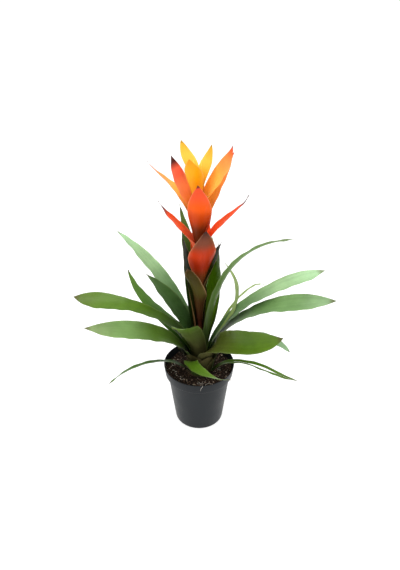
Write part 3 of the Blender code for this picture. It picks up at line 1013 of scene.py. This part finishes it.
@dataclass
class Soil:
    """The potting mix, its bark chips, and the short stem it holds."""

    pot: Pot
    gap: float = 0.0003
    edge_fall: float = 0.0015
    stub_radius: float = 0.0227
    stub_depth: float = 0.014
    stub_taper: float = 0.7
    chips: int = 620
    crumbs: int = 1500
    roots: int = 9
    sunk: float = 0.0006
    turn_up: float = 0.004
    root_ring: tuple[float, float] = (0.032, 0.046)
    root_bow: float = 0.0030
    root_radius: float = 0.00022
    root_sides: int = 6

    def build(self) -> int:
        """Make the soil, the chips and the short stem.

        Returns:
            How many pieces were made.
        """
        self.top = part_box("soil")[1].z
        self._bed()
        self._scatter("soil_chips", self.chips, (0.0011, 0.0030), 0.5, 31)
        self._scatter("soil_crumbs", self.crumbs, (0.0004, 0.0010), 0.8, 32)
        self._roots()
        self._stub()
        return 5

    def relief(self, places: np.ndarray) -> np.ndarray:
        """Height of the bed over its level: lumps of three sizes."""
        return (0.0011 * lattice_noise(places, 0.009, 5) + 0.0009 * lattice_noise(places, 0.0035, 6)
                + 0.0005 * lattice_noise(places, 0.0015, 7))

    def _bed(self) -> None:
        """The bed: it fills the pot, with a pocket for the short stem."""
        pocket = self.stub_radius + self.gap
        deep = self.top - self.stub_depth - self.gap
        floor = self.pot.base_thickness + self.gap
        shoulder = self.pot.height - self.pot.lip_height
        low = shoulder - self.pot.shoulder_drop
        level = self.top - self.sunk
        edge = level - self.edge_fall
        out = self.pot.inner_radius(edge) - self.gap
        spread = np.linspace(pocket, out, 60)
        fall = level - self.edge_fall * smooth((spread - pocket) / (out - pocket) * 2 - 1)
        wall = [(self.pot.inner_radius(h) - self.gap, h) for h in (low, shoulder)]
        side = self.pot.inner_radius(self.turn_up)
        under = [(0.0, floor), (side - self.turn_up, floor), (side - self.gap, self.turn_up)]
        bed = np.stack([spread, fall], -1)[::-1]
        well = [(pocket * self.stub_taper, deep), (0.0, deep)]
        profile = np.vstack([under, wall, bed, well])
        steps = 240
        angle = 2 * np.pi * np.arange(steps) / steps
        relief = np.zeros((len(profile) - 2, steps))
        first = len(under) + len(wall) - 1
        relief[first : first + len(bed)] = self.relief(polar(bed[:, 0, None], angle))
        piece = lathe(profile, steps, relief).finish("soil_bed", self._skin("soil_skin", False), 180.0)
        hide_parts("soil")

    def _scatter(self, name: str, count: int, sizes: tuple[float, float], flat: float, seed: int) -> None:
        """Strew rough lumps over the bed.

        Each lump is a twenty-faced solid, stretched, jittered and turned at random.

        Args:
            name: the piece's name.
            count: how many lumps.
            sizes: their smallest and largest half lengths.
            flat: how thick a lump is beside its length.
            seed: picks the places and shapes.
        """
        dice = np.random.default_rng(seed)
        golden = (1 + 5**0.5) / 2
        solid = np.array([(-1, golden, 0), (1, golden, 0), (-1, -golden, 0), (1, -golden, 0),
                          (0, -1, golden), (0, 1, golden), (0, -1, -golden), (0, 1, -golden),
                          (golden, 0, -1), (golden, 0, 1), (-golden, 0, -1), (-golden, 0, 1)]) / 1.9
        faces = np.array([(0, 11, 5), (0, 5, 1), (0, 1, 7), (0, 7, 10), (0, 10, 11), (1, 5, 9), (5, 11, 4),
                          (11, 10, 2), (10, 7, 6), (7, 1, 8), (3, 9, 4), (3, 4, 2), (3, 2, 6), (3, 6, 8),
                          (3, 8, 9), (4, 9, 5), (2, 4, 11), (6, 2, 10), (8, 6, 7), (9, 8, 1)])
        size = sizes[0] + (sizes[1] - sizes[0]) * dice.random(count) ** 2.5
        broad = size * dice.uniform(0.35, 0.8, count)
        shape = np.stack([size, broad, size * flat * dice.uniform(0.3, 0.9, count)], -1)
        lumps = solid[None] * shape[:, None] * dice.uniform(0.75, 1.2, (count, 12, 1))
        spin, tip = dice.uniform(0, 2 * np.pi, count), dice.normal(0, 0.45, count)
        cos_tip, sin_tip = np.cos(tip)[:, None], np.sin(tip)[:, None]
        x = lumps[..., 0] * cos_tip - lumps[..., 2] * sin_tip
        y = lumps[..., 1]
        z = lumps[..., 0] * sin_tip + lumps[..., 2] * cos_tip
        cos_spin, sin_spin = np.cos(spin)[:, None], np.sin(spin)[:, None]
        turned = np.stack([x * cos_spin - y * sin_spin, x * sin_spin + y * cos_spin, z], -1)
        inner, outer = self.stub_radius, self.pot.inner_radius(self.top) - 1.1 * size
        radius = np.sqrt(inner**2 + (outer**2 - inner**2) * dice.random(count))
        spots = polar(radius, dice.uniform(0, 2 * np.pi, count))
        fall = self.edge_fall * smooth((radius - inner) / (outer - inner) * 2 - 1)
        height = self.top - self.sunk - fall + self.relief(spots) + size * 0.12
        points = turned + np.concatenate([spots, height[:, None]], 1)[:, None]
        every = faces[None] + 12 * np.arange(count)[:, None, None]
        tone = np.repeat(dice.random(count), 12)
        surface = Surface(points.reshape(-1, 3), every.reshape(-1, 3).tolist(), None, {"tone": tone})
        piece = surface.finish(name, self._skin(f"{name}_skin", True), 30.0)

    def _roots(self) -> None:
        """Pale dry rootlets: some over the bed, one up the inner wall and one over
        the rim. Each is a thin tube along an arc with two sine waves in it."""
        dice = np.random.default_rng(47)
        share = np.linspace(0, 1, 40)
        lines = []
        for _ in range(self.roots):
            start, sweep = dice.uniform(0, 2 * np.pi), dice.uniform(0.15, 0.45)
            angle = start + sweep * share
            radius = dice.uniform(*self.root_ring)
            radius = radius + self.root_bow * np.sin(2 * np.pi * share * dice.uniform(0.5, 1.3))
            lift = self.relief(polar(radius, angle)) + 0.0004 + 0.0006 * np.sin(9 * share)
            lines.append(polar(radius, angle, self.top + lift))
        rim = self.pot.height
        rise = self.top - 0.004 + (rim - self.top + 0.002) * share
        angle = np.radians(205) - 0.5 * share + 0.05 * np.sin(9 * share)
        wall = np.array([self.pot.inner_radius(min(h, rim)) for h in rise]) - 0.0008
        lines.append(polar(wall, angle, rise))
        fall = rim + 0.0006 - 0.011 * share**2
        out = self.pot.rim_radius - 0.002 + 0.0030 * smooth(share * 3) - 0.0008 * share
        angle = np.radians(-86) + 0.03 * np.sin(5 * share)
        lines.append(polar(out, angle, fall))
        points, faces, count = [], [], 0
        for line in lines:
            thin = tube(line, self.root_radius * (0.35 + 0.65 * np.sin(np.pi * share)), self.root_sides)
            points.append(thin.points)
            faces += [[corner + count for corner in face] for face in thin.faces]
            count += len(thin.points)
        skin = Skin("rootlet_skin")
        grain = skin.effect(Effect.GRAIN, {"Scale": 900.0}).outputs[0]
        made = skin.wear(skin.mix(grain, "c8bca8", "f0ece4"), 0.7)
        Surface(np.vstack(points), faces).finish("soil_roots", made)

    def _skin(self, name: str, toned: bool) -> bpy.types.Material:
        """Dark peat and bark: clumps, pale flecks and a rough grain.

        Args:
            name: the material's name.
            toned: each lump has a tone of its own.

        Returns:
            The material.
        """
        skin = Skin(name)
        mottle = skin.effect(Effect.MOTTLE, {"Scale": 420.0, "Contrast": 2.6}).outputs[0]
        grain = skin.effect(Effect.GRAIN, {"Scale": 2200.0}).outputs[0]
        share = mottle
        stops = [(0.0, "0c0807"), (0.5, "241913"), (1.0, "4a3529")]
        if toned:
            share = skin.node("Attribute", attribute_name="tone").outputs["Fac"]
            stops = [(0.0, "140e0c"), (0.40, "33241c"), (0.68, "6a5040"), (0.90, "94806e"), (1.0, "ccbeae")]
        base = skin.ramp(share, stops, "LINEAR")
        base = skin.mix(skin.math("MULTIPLY", grain, 0.35), base, "140d0a")
        return skin.wear(base, 0.92, 0.15, (0.8, 0.0006, grain))

    def _stub(self) -> None:
        """The short woody stem: old leaf scars ring it."""
        top = self.top - self.gap
        deep = self.top - self.stub_depth
        foot = (self.stub_radius + self.gap) * self.stub_taper - self.gap
        share = np.linspace(0, 1, 40)
        rings = 0.0002 * np.sin(2 * np.pi * share * 5) - 0.0002
        sides = np.stack([foot + (self.stub_radius - foot) * share + rings, deep + (top - deep) * share], -1)
        profile = np.vstack([[(0.0, deep)], sides, [(0.0, top)]])
        skin = Skin("short_stem_skin")
        grain = skin.effect(Effect.GRAIN, {"Scale": 700.0}).outputs[0]
        made = skin.wear(skin.ramp(grain, [(0.3, "2a2014"), (0.7, "5a4628")]), 0.8)
        piece = lathe(profile, 96).finish("short_stem_wood", made)
        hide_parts("short_stem")


# ---- the studio ------------------------------------------------------------------
@dataclass
class Studio:
    """The floor, the lights and the camera."""

    lens: float = 45.88
    eye: tuple[float, float, float] = (0.0016, -0.955, 0.927)
    pitch: float = 55.8
    sky: float = 0.6
    floor_reach: float = 12.0
    floor_drop: float = 0.0004
    floor_tone: float = 0.5
    floor_glow: float = 0.75

    def build(self) -> None:
        """Set up the floor, the soft light and the camera."""
        self._floor()
        world = bpy.data.worlds.new("studio")
        bpy.context.scene.world = world
        world.use_nodes = True
        sky = world.node_tree.nodes["Background"]
        sky.inputs["Color"].default_value = (1.0, 1.0, 1.0, 1.0)
        sky.inputs["Strength"].default_value = self.sky
        self._lamp("overhead", (0.1, -0.1, 1.7), (0.0, 0.0, 0.2), 1.4, 28.0)
        self._lamp("front_left", (-1.3, -1.3, 1.4), (0.0, 0.0, 0.25), 1.2, 8.0)
        view = bpy.data.cameras.new("view")
        view.lens = self.lens
        view.sensor_width = 36.0
        camera = bpy.data.objects.new("view", view)
        camera.location = self.eye
        camera.rotation_euler = (np.radians(self.pitch), 0.0, 0.0)
        bpy.context.scene.collection.objects.link(camera)
        bpy.context.scene.camera = camera
        bpy.context.scene.view_settings.view_transform = "Standard"

    def _floor(self) -> None:
        """A plain pale floor, a hair below the pot."""
        mesh = bpy.data.meshes.new("floor")
        reach, drop = self.floor_reach, -self.floor_drop
        corners = [(-reach, -reach, drop), (reach, -reach, drop), (reach, reach, drop), (-reach, reach, drop)]
        mesh.from_pydata(corners, [], [(0, 1, 2, 3)])
        skin = Skin("floor_paint")
        skin.inputs["Base Color"].default_value = (self.floor_tone, self.floor_tone, self.floor_tone, 1.0)
        skin.inputs["Roughness"].default_value = 0.9
        skin.inputs["Emission Color"].default_value = (1.0, 1.0, 1.0, 1.0)
        skin.inputs["Emission Strength"].default_value = self.floor_glow
        mesh.materials.append(skin.material)
        floor = bpy.data.objects.new("floor", mesh)
        bpy.context.scene.collection.objects.link(floor)

    def _lamp(self, name: str, place: tuple, aim: tuple, size: float, power: float) -> None:
        """Hang a soft square lamp that faces a point.

        Args:
            name: the lamp's name.
            place: where it hangs.
            aim: the point it faces.
            size: its side.
            power: its power in watts.
        """
        light = bpy.data.lights.new(name, "AREA")
        light.shape = "SQUARE"
        light.size = size
        light.energy = power
        made = bpy.data.objects.new(name, light)
        made.location = place
        away = np.array(place) - np.array(aim)
        made.rotation_euler = (np.arctan2(np.hypot(away[0], away[1]), away[2]), 0.0,
                               np.arctan2(away[1], away[0]) + np.pi / 2)
        bpy.context.scene.collection.objects.link(made)


def main() -> None:
    """Build the pieces in order, and log how many pieces each part made."""
    logging.basicConfig(level=logging.INFO, format="%(name)s: %(message)s")
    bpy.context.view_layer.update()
    pot = Pot()
    LOG.info("pot: %d piece", pot.build())
    LOG.info("soil: %d pieces", Soil(pot).build())
    LOG.info("rosette: %d pieces", Rosette().build())
    LOG.info("spike: %d pieces", Spike().build())
    Studio().build()
    LOG.info("studio ready")
    bpy.context.view_layer.update()


if __name__ == "__main__":
    main()
